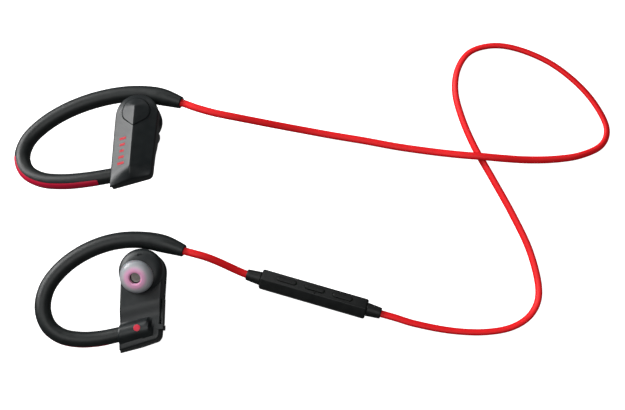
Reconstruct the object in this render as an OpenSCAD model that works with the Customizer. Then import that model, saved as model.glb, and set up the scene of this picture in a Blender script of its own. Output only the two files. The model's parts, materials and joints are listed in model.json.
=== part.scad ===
// Sport earphones with over-ear hooks, joined by a free behind-the-neck cord with an inline remote.
// +Z up. The set lies on a flat surface at z = 0. The origin is under the middle of the two earpieces.
// Each earpiece has its own frame: x towards the cord exit, y up the ear, z outwards from the head.

/* [Earpiece casing] */
// Radius of the casing's round top
cap_r = 8.4; // [8:0.1:9]
// Left edge of the casing at its foot
foot_left = 8.2; // [7.6:0.1:8.8]
// Right edge of the casing at its foot
foot_right = 7.6; // [7:0.1:8.2]
// Drop from the casing's centre to its lower left corner
foot_drop = 30.2; // [28:0.1:32]
// Rise of the slanted foot from left to right
foot_rise = 4.6; // [3:0.1:6]
// Wall thickness of the shells
wall = 1.1; // [0.9:0.1:1.3]
// Height of the ridge on the outer face
ridge_z = 5.6; // [5:0.1:6.5]
// Fall of the outer face per millimetre away from the ridge
roof_slope = 0.5; // [0.4:0.02:0.55]
// Length of the bevelled end of the ridge at the foot
bevel_len = 5; // [3:0.5:7]
// Height of the ridge's upper end above the casing's centre
ridge_end_y = 1.6; // [0:0.2:3]
// Depth of the inner face
inner_z = 4.2; // [4:0.1:5]
// Lean of the casing against the hook, in degrees
lean = 0; // [0:1:4]

/* [Ear hook] */
// Radius of the pin that the earpiece twists on
pin_r = 2.2; // [2:0.1:2.4]
// Clearance around the pin
pin_gap = 0.05; // [0.02:0.01:0.09]
// Slope of the pin's axis across the earpiece, in degrees
pin_slope = 13; // [10:1:15]
// Size of the hook's tube against its standard size
hook_scale = 1; // [0.95:0.01:1.04]
// How far the left hook is drawn out from its root
left_reach = 1.2; // [0.95:0.01:1.25]
// How far the right hook is drawn out from its root
right_reach = 0.92; // [0.9:0.01:1.1]

/* [Ear tip] */
// Largest radius of the silicone tip
tip_r = 6.3; // [5.5:0.1:6.8]
// Length of the silicone tip
tip_len = 7.3; // [7.2:0.1:8.2]
// Tilt of the sound tube from the casing's normal, in degrees
nozzle_tilt = 28; // [20:1:30]

/* [Cord] */
// Width of the flat-sided cord
cord_w = 3; // [2.4:0.1:3.4]
// Thickness of the cord
cord_t = 2.3; // [1.8:0.1:2.6]

/* [Remote] */
// Length of the remote's casing
remote_len = 42; // [38:1:44]
// Width of the remote's casing
remote_w = 7.4; // [7:0.1:8]
// Height of the remote's ridge
remote_h = 6.2; // [5.8:0.1:6.6]
// Length of each button on the remote
button_len = 8; // [6:0.5:9]

/* [Hidden] */
$fn = 48;

shell_black = [0.13, 0.14, 0.15];
rubber_black = [0.09, 0.10, 0.10];
cord_red = [0.86, 0.05, 0.09];
gap = 0.2;                 // room around each moving button
part_z = 0.6;              // height of the joint between the two shells
face_z = 9;                // depth of the speaker housing's face
pin_len = 8;
pin_start = [-7.6, -23.4, -2.6];
nozzle_base = [0, -1.4, -8];
nozzle_r = 2.5;
nozzle_len = 5.4;
bore_r = 1.9;
grip_from = 3.1;           // start of the tip's grip on the sound tube
tip_foot = 4.6;            // height of the flange's rim
cover_y = -20.6;           // hinge of the charging cover
cover_x = 8.1;
cover_pin_r = 0.35;
button_w = 2.4;            // width of each button on the remote
remote_split = 2.8;
remote_side = 4.1;         // height of the remote's side walls
remote_mid = [82.2, -29.3, 0];
remote_turn = -16.5;
relief_len = 5.6;
relief_z = 2.9;
cord_grip = 3;             // depth to which a cord enters its boot or relief
grip_r = 1.6;
boot_turn = -18;

// Earpiece places: position of the casing's centre, then the tilt across and along it
left_at = [14.5, 37.5, 16.03];
left_tilt = [-8.3, -5, 0];
right_at = [18, -22, 5.7];
right_tilt = [0, -5, 0];

// Hook centreline in the earpiece's frame, and the tube's radius at each point
hook_points = [
    [-7.6, -23.4, -2.6], [-15.9, -24.9, -2.8], [-24, -25.3, -3.4], [-31.4, -24, -4.2],
    [-37, -20, -5], [-39.5, -13.4, -5.5], [-38.2, -6, -5.6], [-33.4, 0.6, -5.4],
    [-26.5, 6, -5], [-18.2, 9.9, -4.6], [-9.4, 12, -4.2], [-0.5, 12.2, -4],
    [7.9, 10.5, -4], [15.6, 7.7, -4]
];
hook_radii = [2.8, 2.9, 2.95, 2.95, 3, 3.05, 3.05, 3.1, 3.15, 3.2, 3.2, 3.2, 3.4, 2.35];

// Cord from the left earpiece round the loop to the remote's far end
long_route = [
    [27.74, 45.43, 11.94], [31.61, 44.17, 12.46], [36.8, 42.1, 12.9], [43.8, 40.1, 12.8],
    [51.8, 38.8, 11.6], [60.8, 37.9, 8.8], [69.8, 37.1, 5.8], [79.8, 36.1, 3], [90.8, 34.5, 1.6],
    [102.8, 32.5, 1.3], [115.8, 30, 1.3], [129.8, 27.7, 2], [140.8, 25.9, 3.6], [148.8, 25.1, 4.1],
    [156.8, 24.5, 3.6], [166.8, 24.4, 2], [177.8, 24.9, 1.3], [187.8, 26.5, 1.3], [196.4, 30.7, 1.3],
    [199, 38, 1.3], [195, 48.1, 1.3], [187.8, 57.5, 1.3], [177.8, 65.9, 1.3],
    [165.8, 71.6, 1.3], [155.3, 73.3, 1.3], [145.8, 70.5, 1.3], [140.6, 63.1, 1.3],
    [139.2, 53.5, 1.3], [141.3, 42.8, 1.3], [145.8, 30.5, 1.3], [152.3, 17.5, 1.3],
    [159.6, 2.7, 1.3], [165.8, -12.5, 1.3], [168.4, -27.5, 1.3], [165.4, -36.3, 1.3],
    [157.8, -41.7, 1.3], [146.8, -43.7, 1.3], [133.8, -43.1, 1.6], [120.8, -40.7, 2.3],
    [113.3, -38.5, 2.8], [107.7, -36.9, 2.9], [104.9, -36.1, 2.9]
];
// Cord from the right earpiece to the remote's near end
short_route = [
    [30.44, -13.4, 10.8], [34.33, -14.67, 11.14], [37.8, -15.6, 11.1], [41.8, -16.6, 10.2],
    [46.2, -18, 8.2], [50.3, -19.5, 5.9], [53.8, -20.8, 4], [56.7, -21.8, 3], [59.5, -22.6, 2.9]
];

// ---- functions ----
function unit(v) = v / norm(v);
function blend3(a, b, c, d, t) = 0.5 * (2 * b + (c - a) * t
    + (2 * a - 5 * b + 4 * c - d) * t * t + (3 * b - a - 3 * c + d) * t * t * t);
function smooth(p, n) = let (last = len(p) - 1) [
    for (i = [0 : last - 1], j = [0 : n - 1])
        blend3(p[max(i - 1, 0)], p[i], p[i + 1], p[min(i + 2, last)], j / n),
    p[last]
];
function heading(p, i) = unit(p[min(i + 1, len(p) - 1)] - p[max(i - 1, 0)]);
function across(p, i) = unit(cross([0, 0, 1], heading(p, i)));
function above(p, i) = cross(heading(p, i), across(p, i));
function point_on(p, i, u, v) = p[i] + u * across(p, i) + v * above(p, i);
function part_of(p, a, b) = [for (i = [a : b]) p[i]];

// Hook's centreline, with the part beyond its root drawn out by reach
function hook_path(reach) = smooth([for (p = hook_points)
    [p[0] < pin_start[0] ? pin_start[0] + (p[0] - pin_start[0]) * reach : p[0], p[1], p[2]]], 3);
hook_r = smooth(hook_radii, 3) * hook_scale;
strip_from = 2;            // first and last steps of the red strip along the hook
strip_to = 15;
strip_turn = 20;           // turn of the strip from the hook's side towards its outer face
strip_half = 32;           // half the angle that the strip covers round the tube

// ---- shared shapes ----
// Skin of a swept section: rings of points, closed at both ends
module skin(rings) {
    sides = len(rings[0]);
    last = len(rings) - 1;
    polyhedron(
        points = [for (r = rings, p = r) p],
        faces = concat(
            [[for (k = [0 : sides - 1]) k]],
            [for (i = [0 : last - 1], k = [0 : sides - 1])
                [i * sides + k, (i + 1) * sides + k,
                 (i + 1) * sides + (k + 1) % sides, i * sides + (k + 1) % sides]],
            [[for (k = [0 : sides - 1]) last * sides + sides - 1 - k]]
        ),
        convexity = 10
    );
}

// Round or oval tube along a path
module tube(path, half_w, half_t, sides) {
    skin([for (i = [0 : len(path) - 1])
        [for (k = [0 : sides - 1]) let (a = 360 * k / sides)
            point_on(path, i, half_w[i] * cos(a), half_t[i] * sin(a))]]);
}

// Outline of the casing seen from outside, moved in by g
module plan(g) {
    circle(r = cap_r - g);
    polygon([
        [-(cap_r - g), 0], [-(foot_left - g), -foot_drop + 1.3 * g],
        [foot_right - g, -foot_drop + foot_rise + 1.3 * g], [cap_r - g, 0]
    ]);
}

// Solid under the ridged outer face, moved up by lift
module roof(lift) {
    top = ridge_z + lift;
    reach = top + 12;
    difference() {
        translate([0, ridge_end_y, 0]) {
            rotate([90, 0, 0]) linear_extrude(40)
                polygon([[-reach / roof_slope, top - reach], [0, top], [reach / roof_slope, top - reach]]);
            translate([0, 0, top - reach]) cylinder(h = reach, r1 = reach / roof_slope, r2 = 0);
        }
        foot_bevel(top);
    }
}

// Block above the sloped end of the ridge, along the slanted foot
module foot_bevel(top) {
    foot_w = foot_left + foot_right;
    foot_y = -foot_drop + foot_rise * foot_left / foot_w;
    translate([0, foot_y + bevel_len, top]) rotate([0, 0, atan2(foot_rise, foot_w)])
        rotate([atan(roof_slope), 0, 0]) translate([-20, -20, 0]) cube([40, 20, 20]);
}

// Drop-shaped outline of the button on the outer face, moved in by g
module drop(g) {
    drop_r = 5.6 - g;
    tip_y = -6.9 + 1.4 * g;
    dist = 0.6 - tip_y;
    touch = acos(drop_r / dist);
    translate([0, 0.6]) circle(r = drop_r);
    polygon([
        [0, tip_y],
        [drop_r * sin(touch), 0.6 - drop_r * cos(touch)], [0, 0.6],
        [-drop_r * sin(touch), 0.6 - drop_r * cos(touch)]
    ]);
}

// Turns +Z onto the hook pin's axis, starting where the hook meets the casing
module on_pin() {
    translate(pin_start) rotate([0, 0, pin_slope]) rotate([0, 90, 0]) children();
}

// Turns +Z onto the hook's outer end, where the cord leaves it
module on_boot() {
    end = hook_points[len(hook_points) - 1];
    translate(end) rotate([0, 0, boot_turn]) rotate([0, 90, 0]) children();
}

// Turns +Z onto the sound tube's axis
module on_nozzle() {
    translate(nozzle_base) rotate([180 - nozzle_tilt, 0, 0]) children();
}

module lean_casing() { rotate([0, 0, -lean]) children(); }

module place_left() { translate(left_at) rotate(left_tilt) children(); }
module place_right() { translate(right_at) rotate(right_tilt) mirror([0, 0, 1]) children(); }
module place_remote() { translate(remote_mid) rotate([0, 0, remote_turn]) children(); }

// ---- hook ----
module strip_solid(reach) {
    path = part_of(hook_path(reach), strip_from, strip_to);
    turns = [for (k = [-1 : 0.5 : 1]) strip_turn + k * strip_half];
    skin([for (i = [0 : len(path) - 1]) let (r = hook_r[strip_from + i]) concat(
        [for (a = turns) point_on(path, i, (r + 0.15) * cos(a), (r + 0.15) * sin(a))],
        [for (k = [4 : -1 : 0]) point_on(path, i, (r - 0.6) * cos(turns[k]), (r - 0.6) * sin(turns[k]))]
    )]);
}

module wire_solid(reach) {
    path = part_of(hook_path(reach), 1, len(hook_r) - 8);
    thin = [for (p = path) 0.6];
    tube(path, thin, thin, 6);
}

module hook_sleeve(reach) {
    color(rubber_black) difference() {
        tube(hook_path(reach), hook_r, hook_r, 16);
        strip_solid(reach);
        wire_solid(reach);
        on_pin() cylinder(h = 9, r = 1.5, center = true);
        on_boot() translate([0, 0, -cord_grip]) cylinder(h = cord_grip + 1, r = grip_r);
    }
}

module hook_wire(reach) { color("silver") wire_solid(reach); }

module hook_strip(reach) { color(cord_red) strip_solid(reach); }

module hook_pin() {
    color("silver") on_pin() {
        translate([0, 0, -1.8]) cylinder(h = 2.3, r = 1.5);
        translate([0, 0, 0.5]) cylinder(h = pin_len - 0.5, r = pin_r);
        translate([0, 0, pin_len]) cylinder(h = 0.9, r = pin_r + 0.5);
    }
}

// ---- casing ----
module outer_shell(opening) {
    color(shell_black) lean_casing() difference() {
        intersection() {
            translate([0, 0, part_z]) linear_extrude(8) plan(0);
            roof(0);
        }
        intersection() {
            translate([0, 0, part_z - 1]) linear_extrude(8) plan(wall);
            roof(-wall * 1.1);
        }
        if (opening) translate([0, 0, part_z]) linear_extrude(8) drop(0);
    }
}

module inner_shell(socket) {
    color(shell_black) difference() {
        union() {
            lean_casing() difference() {
                translate([0, 0, -inner_z]) linear_extrude(inner_z + part_z) plan(0.4);
                translate([0, 0, -inner_z + wall]) linear_extrude(inner_z) plan(0.4 + wall);
            }
            intersection() {
                on_pin() cylinder(h = 13, r = 3.5);
                lean_casing() translate([0, 0, -8]) linear_extrude(8 + part_z) plan(0.4);
            }
        }
        on_pin() {
            translate([0, 0, -4]) cylinder(h = 4.3, r = 3.1 * hook_scale);
            cylinder(h = pin_len, r = pin_r + pin_gap);
            translate([0, 0, pin_len - 0.2]) cylinder(h = 1.5, r = pin_r + 0.7);
        }
        translate([0, 0, -inner_z - 1]) cylinder(h = wall + 1.2, r = 6.6);
        mark_solid();
        if (socket) lean_casing() socket_outline(0.3);
    }
    if (socket) color(shell_black) lean_casing() for (z = [-4.0, 0.0])
        translate([7.0, cover_y - 1.2, z]) difference() {
            cube([cover_x - 7.0 + 0.6, 1.8, 0.6]);
            translate([cover_x - 7.0, 1.2, -1]) cylinder(h = 3, r = cover_pin_r);
        }
}

// Room taken by the charging socket and its cover's tongue, grown by g
module socket_outline(g) {
    translate([1.5, -18.4 - g, -2.95 - g]) cube([8, 7.2 + 2 * g, 2.2 + 2 * g]);
}

module speaker_housing() {
    color(shell_black) difference() {
        union() {
            rotate_extrude() polygon([
                [0, -face_z], [4.6, -face_z], [6.6, -face_z + 0.4], [7.9, -face_z + 1.4],
                [cap_r, -face_z + 2.8], [cap_r, -inner_z], [0, -inner_z]
            ]);
            on_nozzle() cylinder(h = nozzle_len, r = nozzle_r);
        }
        translate([0, 0, -face_z + 1.2]) cylinder(h = 6, r = 6.6);
        on_nozzle() {
            translate([0, 0, -1]) cylinder(h = nozzle_len + 2, r = bore_r - 0.4);
            translate([0, 0, nozzle_len - 0.5]) cylinder(h = 2, r = bore_r);
        }
        translate([-1.1, 5, -face_z - 1]) cube([2.2, 0.8, 1.9]);
    }
}

module speaker_driver() {
    color("silver") translate([0, 0, -7.4]) {
        cylinder(h = 1.4, r = 6.4);
        translate([0, 0, 1.4]) cylinder(h = 2, r = 4.6);
    }
}

module nozzle_mesh() {
    color("gray") on_nozzle() translate([0, 0, nozzle_len - 0.5]) cylinder(h = 0.3, r = bore_r);
}

// Mushroom tip: an inner tube that grips the sound tube, and a thin flange folded back over it
module ear_tip() {
    mouth = 2.6;                    // where the flange starts, round the bore
    flange_h = tip_len - tip_foot;
    skin_t = 0.5;
    color([0.62, 0.64, 0.66]) on_nozzle() rotate_extrude() polygon(concat(
        [[nozzle_r, grip_from], [nozzle_r, nozzle_len], [2.1, nozzle_len + 0.3], [2.1, tip_len]],
        [for (a = [0 : 15 : 90])
            [mouth + (tip_r - mouth) * sin(a), tip_foot + flange_h * cos(a)]],
        [for (a = [90 : -15 : 15])
            [mouth + (tip_r - skin_t - mouth) * sin(a), tip_foot + (flange_h - skin_t) * cos(a)]],
        [[3.5, tip_len - 1.6], [3.5, grip_from]]
    ));
}

module mark_solid() {
    translate([-0.6, -21.6, -6.2]) cylinder(h = 0.45, r = 1.25);
}

module side_mark() { color(cord_red) mark_solid(); }

module sport_button() {
    color(shell_black) lean_casing() difference() {
        intersection() {
            translate([0, 0, 2.5]) linear_extrude(6) drop(gap);
            roof(0.25);
        }
        translate([0, 0, 1.5]) cylinder(h = 1.8, r = 3.6);
    }
    color(shell_black) translate([0, 0, 2.5]) cylinder(h = 1.5, r = 1);
}

module button_switch() {
    color("silver") {
        translate([-4.5, -4.5, -0.6]) cube([9, 9, 0.8]);
        translate([-2.2, -2.2, 0.2]) cube([4.4, 4.4, 1.2]);
        translate([0, 0, 1.4]) cylinder(h = 0.6, r = 1);
    }
}

module battery() {
    color("gold") lean_casing() translate([-5.6, -16.8, -2.8]) cube([11.2, 11.4, 4.1]);
}

module antenna_cap() {
    color(shell_black) lean_casing() intersection() {
        translate([0, 0, 2.2]) linear_extrude(6) drop(0);
        roof(0.1);
    }
}

module circuit_board() {
    color("green") lean_casing() {
        translate([-5.6, -17.2, 0.2]) cube([11.2, 21, 0.8]);
        translate([-4, -6, 1]) cube([5, 5, 1]);
        translate([-3.5, -14, 1]) cube([3, 4, 0.8]);
        translate([1.4, -13, 1]) cube([2.5, 3, 0.8]);
    }
}

module charging_socket() {
    color("silver") lean_casing() difference() {
        translate([1.6, -18.5, -3.05]) cube([4.9, 7.4, 2.4]);
        translate([2.4, -18.1, -2.65]) cube([6, 6.6, 1.6]);
    }
}

module socket_cover() {
    color(rubber_black) lean_casing() difference() {
        union() {
            translate([7.85, cover_y, -3.2]) cube([0.75, 10.4, 2.8]);
            translate([6.8, -17.8, -2.75]) cube([1.2, 6.2, 1.8]);
            translate([cover_x, cover_y, -3.2]) cylinder(h = 2.8, r = 0.68);
        }
        translate([cover_x, cover_y, -4]) cylinder(h = 5, r = cover_pin_r + 0.04);
    }
}

module cover_pin() {
    color("silver") lean_casing() translate([cover_x, cover_y, -4.0]) cylinder(h = 4.5, r = cover_pin_r);
}

// ---- remote ----
// Cross-section of the remote, moved in by g
module remote_outline(g) {
    half = remote_w / 2 - g;
    polygon([
        [-half + 1.2, g], [half - 1.2, g], [half, 1.2 + g], [half, remote_side - g],
        [-0.6, remote_h - g], [-half, remote_side - g], [-half, 1.2 + g]
    ]);
}

module remote_bar(g, from, to) {
    intersection() {
        translate([-remote_len / 2 + g, 0, 0]) rotate([90, 0, 90])
            linear_extrude(remote_len - 2 * g) remote_outline(g);
        translate([-50, -10, from]) cube([100, 20, to - from]);
    }
}

// Turns +Z onto the normal of the remote's rear slope, at a distance x along it
module on_slope(x) {
    run = remote_w / 2 + 0.6;
    turn = atan2(remote_h - remote_side, run);
    translate([x, run / 2 - 0.6, (remote_h + remote_side) / 2]) rotate([-turn, 0, 0]) children();
}

module button_outline(g) {
    square([button_len - button_w, button_w - 2 * g], center = true);
    for (s = [-1, 1]) translate([s * (button_len - button_w) / 2, 0]) circle(r = button_w / 2 - g);
}

module remote_top_shell() {
    color(shell_black) place_remote() difference() {
        remote_bar(0, remote_split, 10);
        remote_bar(0.9, remote_split - 1, 10);
        for (x = [-11, 0, 11]) on_slope(x)
            translate([0, 0, -2]) linear_extrude(4) button_outline(0);
        translate([0.4, -0.15, remote_split]) cylinder(h = 5, r = 0.35);
        for (s = [-1, 1]) relief_hole(s);
    }
}

module remote_bottom_shell() {
    color(shell_black) place_remote() difference() {
        remote_bar(0, -1, remote_split);
        remote_bar(0.9, -1, remote_split + 1);
        for (s = [-1, 1]) relief_hole(s);
    }
}

module relief_hole(s) {
    translate([s * remote_len / 2, 0, relief_z]) rotate([0, 90, 0]) cylinder(h = 3, r = 1.4, center = true);
}

module remote_button(x, h) {
    color(rubber_black) place_remote() on_slope(x) {
        translate([0, 0, -0.55]) linear_extrude(0.55 + h) button_outline(gap);
    }
}

module remote_circuit_board() {
    color("green") place_remote() translate([-17.5, -2.4, 2.1]) cube([35, 4.8, 0.7]);
}

module remote_microphone() {
    color("silver") place_remote() translate([0.4, -0.15, 2.8]) cylinder(h = 0.7, r = 0.75);
}

module remote_relief(s) {
    color(rubber_black) place_remote() translate([s * remote_len / 2, 0, relief_z])
        rotate([0, s * 90, 0]) difference() {
            union() {
                translate([0, 0, -1.5]) cylinder(h = 1.5, r = 1.4);
                cylinder(h = relief_len, r1 = 2.6, r2 = 2.1);
            }
            translate([0, 0, relief_len - cord_grip]) cylinder(h = 4, r = grip_r);
        }
}

// ---- cords ----
module cord(route, n) {
    path = smooth(route, n);
    color(cord_red) tube(path, [for (p = path) cord_w / 2], [for (p = path) cord_t / 2], 8);
}

place_left() hook_sleeve(left_reach);  // left_hook_sleeve
place_left() hook_wire(left_reach);  // left_hook_wire
place_left() hook_strip(left_reach);  // left_hook_strip
place_left() hook_pin();  // left_hook_pin
place_left() outer_shell(true);  // left_outer_shell
place_left() inner_shell(false);  // left_inner_shell
place_left() speaker_housing();  // left_speaker_housing
place_left() speaker_driver();  // left_speaker_driver
place_left() nozzle_mesh();  // left_nozzle_mesh
place_left() ear_tip();  // left_ear_tip
place_left() side_mark();  // left_side_mark
place_left() sport_button();  // left_sport_button
place_left() button_switch();  // left_button_switch
place_left() battery();  // left_battery
place_right() hook_sleeve(right_reach);  // right_hook_sleeve
place_right() hook_wire(right_reach);  // right_hook_wire
place_right() hook_strip(right_reach);  // right_hook_strip
place_right() hook_pin();  // right_hook_pin
place_right() outer_shell(true);  // right_outer_shell
place_right() inner_shell(true);  // right_inner_shell
place_right() speaker_housing();  // right_speaker_housing
place_right() speaker_driver();  // right_speaker_driver
place_right() nozzle_mesh();  // right_nozzle_mesh
place_right() ear_tip();  // right_ear_tip
place_right() side_mark();  // right_side_mark
place_right() antenna_cap();  // right_antenna_cap
place_right() circuit_board();  // right_circuit_board
place_right() charging_socket();  // right_charging_socket
place_right() socket_cover();  // right_socket_cover
place_right() cover_pin();  // right_cover_pin
remote_top_shell();
remote_bottom_shell();
remote_button(-11, 0.35);  // remote_volume_up
remote_button(0, 0.45);  // remote_call_button
remote_button(11, 0.35);  // remote_volume_down
remote_circuit_board();
remote_microphone();
remote_relief(-1);  // remote_left_relief
remote_relief(1);  // remote_right_relief
cord(long_route, 2);  // long_cord
cord(short_route, 2);  // short_cord
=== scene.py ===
import json
import math
import bmesh
import bpy
from mathutils import Matrix, Vector


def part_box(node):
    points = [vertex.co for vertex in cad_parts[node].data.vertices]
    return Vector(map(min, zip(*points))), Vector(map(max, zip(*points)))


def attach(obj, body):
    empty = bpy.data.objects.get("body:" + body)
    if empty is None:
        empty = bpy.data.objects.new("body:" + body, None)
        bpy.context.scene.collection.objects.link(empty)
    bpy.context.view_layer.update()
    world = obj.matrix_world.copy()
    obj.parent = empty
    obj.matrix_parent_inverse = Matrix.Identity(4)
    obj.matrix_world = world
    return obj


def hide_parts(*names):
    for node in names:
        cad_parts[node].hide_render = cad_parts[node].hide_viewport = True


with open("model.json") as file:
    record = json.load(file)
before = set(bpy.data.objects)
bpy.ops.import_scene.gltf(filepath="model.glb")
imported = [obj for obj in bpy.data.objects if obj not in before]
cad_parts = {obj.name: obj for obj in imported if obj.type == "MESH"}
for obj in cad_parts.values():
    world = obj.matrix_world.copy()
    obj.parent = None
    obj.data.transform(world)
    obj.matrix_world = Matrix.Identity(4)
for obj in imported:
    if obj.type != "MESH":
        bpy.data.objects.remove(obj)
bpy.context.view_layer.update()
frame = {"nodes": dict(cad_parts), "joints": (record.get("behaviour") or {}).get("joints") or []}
nodes = frame["nodes"]
joints = {j["name"]: j for j in frame["joints"]}
mm = 0.001
print("stage: frame loaded,", len(nodes), "nodes")


# camera, looking steeply down on the set from the front
camera = {
    "lens": 61.7,
    "aim": (0.0818, 0.0065, 0.0),
    "elevation": 75,
    "distance": 0.42,
}


def makeCamera(c):
    data = bpy.data.cameras.new("camera")
    data.lens = c["lens"]
    data.sensor_width = 36
    data.clip_start = 0.01
    data.clip_end = 10
    cam = bpy.data.objects.new("camera", data)
    rise = math.radians(c["elevation"])
    back = Vector((0, -math.cos(rise), math.sin(rise)))
    cam.location = Vector(c["aim"]) + back * c["distance"]
    cam.rotation_euler = (math.pi / 2 - rise, 0, 0)
    bpy.context.scene.collection.objects.link(cam)
    bpy.context.scene.camera = cam
    return cam


makeCamera(camera)


# small tools for every piece
def lerp(a, b, t):
    return a + (b - a) * t


def ease(low, high, x):
    t = min(1.0, max(0.0, (x - low) / (high - low)))
    return t * t * (3 - 2 * t)


def curvePoint(points, s):
    # point at s along a smooth curve through the points, s counted in points
    last = len(points) - 1
    i = min(int(s), last - 1)
    t = s - i
    a, b = points[max(i - 1, 0)], points[i]
    c, d = points[i + 1], points[min(i + 2, last)]
    return [
        0.5 * (2 * q + (r - p) * t + (2 * p - 5 * q + 4 * r - w) * t * t + (3 * q - p - 3 * r + w) * t ** 3)
        for p, q, r, w in zip(a, b, c, d)
    ]


def steps(low, high, n):
    return [lerp(low, high, i / n) for i in range(n + 1)]


def pathFrames(path):
    # for each point of a path: the point, the direction across it, and the one above it
    rows = []
    last = len(path) - 1
    for i, p in enumerate(path):
        ahead = (path[min(i + 1, last)] - path[max(i - 1, 0)]).normalized()
        across = Vector((0, 0, 1)).cross(ahead).normalized()
        rows.append((p, across, ahead.cross(across)))
    return rows


def makePiece(name, verts, faces, place, finish, sharp=35, tones=None):
    # a closed mesh in millimetres of its own frame, put in its place, normals outwards
    bm = bmesh.new()
    layer = bm.verts.layers.float_color.new("tone") if tones else None
    made = [bm.verts.new(v) for v in verts]
    for v, tone in zip(made, tones or []):
        v[layer] = (tone, tone, tone, 1)
    for f in faces:
        bm.faces.new([made[i] for i in f])
    bmesh.ops.remove_doubles(bm, verts=bm.verts, dist=1e-4)
    bmesh.ops.transform(bm, matrix=place, verts=bm.verts)
    bmesh.ops.recalc_face_normals(bm, faces=bm.faces)
    mesh = bpy.data.meshes.new(name)
    bm.to_mesh(mesh)
    bm.free()
    return linkMesh(name, mesh, finish, sharp)


def linkMesh(name, mesh, finish, sharp=35):
    markEdges(mesh, sharp)
    mesh.materials.clear()
    mesh.materials.append(finish)
    obj = bpy.data.objects.new(name, mesh)
    bpy.context.scene.collection.objects.link(obj)
    return obj


def markEdges(mesh, sharp):
    # smooth shading, with a hard edge wherever two faces meet at more than the sharp angle
    bm = bmesh.new()
    bm.from_mesh(mesh)
    for f in bm.faces:
        f.smooth = True
    for e in bm.edges:
        e.smooth = not (e.is_manifold and e.calc_face_angle(0) > math.radians(sharp))
    bm.to_mesh(mesh)
    bm.free()


def ringFaces(rings, sides, closed=True):
    # quads between rings of points, and the two end faces
    faces = []
    for i in range(rings - 1):
        for k in range(sides):
            n = (k + 1) % sides
            faces.append([i * sides + k, (i + 1) * sides + k, (i + 1) * sides + n, i * sides + n])
    if closed:
        faces.append(list(range(sides)))
        faces.append([(rings - 1) * sides + k for k in range(sides)])
    return faces


def loft(name, rings, place, finish, sharp=35):
    # skin over rings that all have the same number of points
    verts = [p for ring in rings for p in ring]
    return makePiece(name, verts, ringFaces(len(rings), len(rings[0])), place, finish, sharp)


def lathe(name, profile, place, finish, sides=96, sharp=35, tone=None):
    # closed profile of (radius, height) turned about Z
    verts = []
    tones = []
    for k in range(sides):
        a = 2 * math.pi * k / sides
        for r, z in profile:
            verts.append((r * math.cos(a), r * math.sin(a), z))
            tones.append(tone(r, z) if tone else 0)
    n = len(profile)
    faces = []
    for k in range(sides):
        m = (k + 1) % sides
        for i in range(n):
            j = (i + 1) % n
            faces.append([k * n + i, m * n + i, m * n + j, k * n + j])
    return makePiece(name, verts, faces, place, finish, sharp, tones if tone else None)


def arc(cx, cy, rx, ry, a, b, n):
    # points on a stretch of an ellipse, from a to b degrees
    turns = [math.radians(t) for t in steps(a, b, n)]
    return [(cx + rx * math.cos(t), cy + ry * math.sin(t)) for t in turns]


def settle(obj, sharp=35):
    # turns the object with its modifiers into a plain mesh
    graph = bpy.context.evaluated_depsgraph_get()
    mesh = bpy.data.meshes.new_from_object(obj.evaluated_get(graph))
    obj.modifiers.clear()
    obj.data = mesh
    markEdges(mesh, sharp)
    return obj


def cut(obj, *cutters, sharp=35):
    # takes the cutters out of the object, and removes them
    for c in cutters:
        m = obj.modifiers.new("cut", "BOOLEAN")
        m.operation = "DIFFERENCE"
        m.solver = "EXACT"
        m.object = c
    settle(obj, sharp)
    for c in cutters:
        bpy.data.objects.remove(c)
    return obj


def bevelled(node, name, width, finish, sharp=40):
    # a CAD node's own shape with its edges softened
    mesh = nodes[node].data.copy()
    bm = bmesh.new()
    bm.from_mesh(mesh)
    bmesh.ops.remove_doubles(bm, verts=bm.verts, dist=1e-6)
    bmesh.ops.dissolve_limit(bm, angle_limit=math.radians(1), verts=bm.verts, edges=bm.edges)
    bm.to_mesh(mesh)
    bm.free()
    obj = linkMesh(name, mesh, finish, sharp)
    m = obj.modifiers.new("soft", "BEVEL")
    m.width = width * mm
    m.segments = 3
    m.limit_method = "ANGLE"
    m.angle_limit = math.radians(sharp)
    settle(obj, sharp)
    obj.data.materials.clear()
    obj.data.materials.append(finish)
    return obj


def fit(obj, body, slot, *stoodFor):
    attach(obj, body)
    if stoodFor:
        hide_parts(*stoodFor)
    return obj


# finishes
def newFinish(name):
    mat = bpy.data.materials.new(name)
    mat.use_nodes = True
    return mat, mat.node_tree, mat.node_tree.nodes["Principled BSDF"]


def addNoise(tree, scale, detail):
    # noise that lies still on the piece
    where = tree.nodes.new("ShaderNodeTexCoord")
    noise = tree.nodes.new("ShaderNodeTexNoise")
    noise.inputs["Scale"].default_value = scale
    noise.inputs["Detail"].default_value = detail
    tree.links.new(where.outputs["Object"], noise.inputs["Vector"])
    return noise.outputs["Fac"]


def addClouds(tree, shader, scale, detail, tones, span):
    # two tones that drift into each other
    fac = addNoise(tree, scale, detail)
    ramp = tree.nodes.new("ShaderNodeValToRGB")
    for stop, tone, at in zip(ramp.color_ramp.elements, tones, span):
        stop.position = at
        stop.color = (*tone, 1)
    tree.links.new(fac, ramp.inputs["Fac"])
    tree.links.new(ramp.outputs["Color"], shader.inputs["Base Color"])
    return fac


def addGrain(tree, shader, scale, strength, distance):
    # fine moulded grain
    relief = tree.nodes.new("ShaderNodeBump")
    relief.inputs["Strength"].default_value = strength
    relief.inputs["Distance"].default_value = distance
    tree.links.new(addNoise(tree, scale, 2), relief.inputs["Height"])
    tree.links.new(relief.outputs["Normal"], shader.inputs["Normal"])


# noise that mixes each finish, and the part of its range over which tone and roughness change
clouds = {"detail": 4, "tones": (0.35, 0.65), "rough": (0.3, 0.7)}


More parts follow.
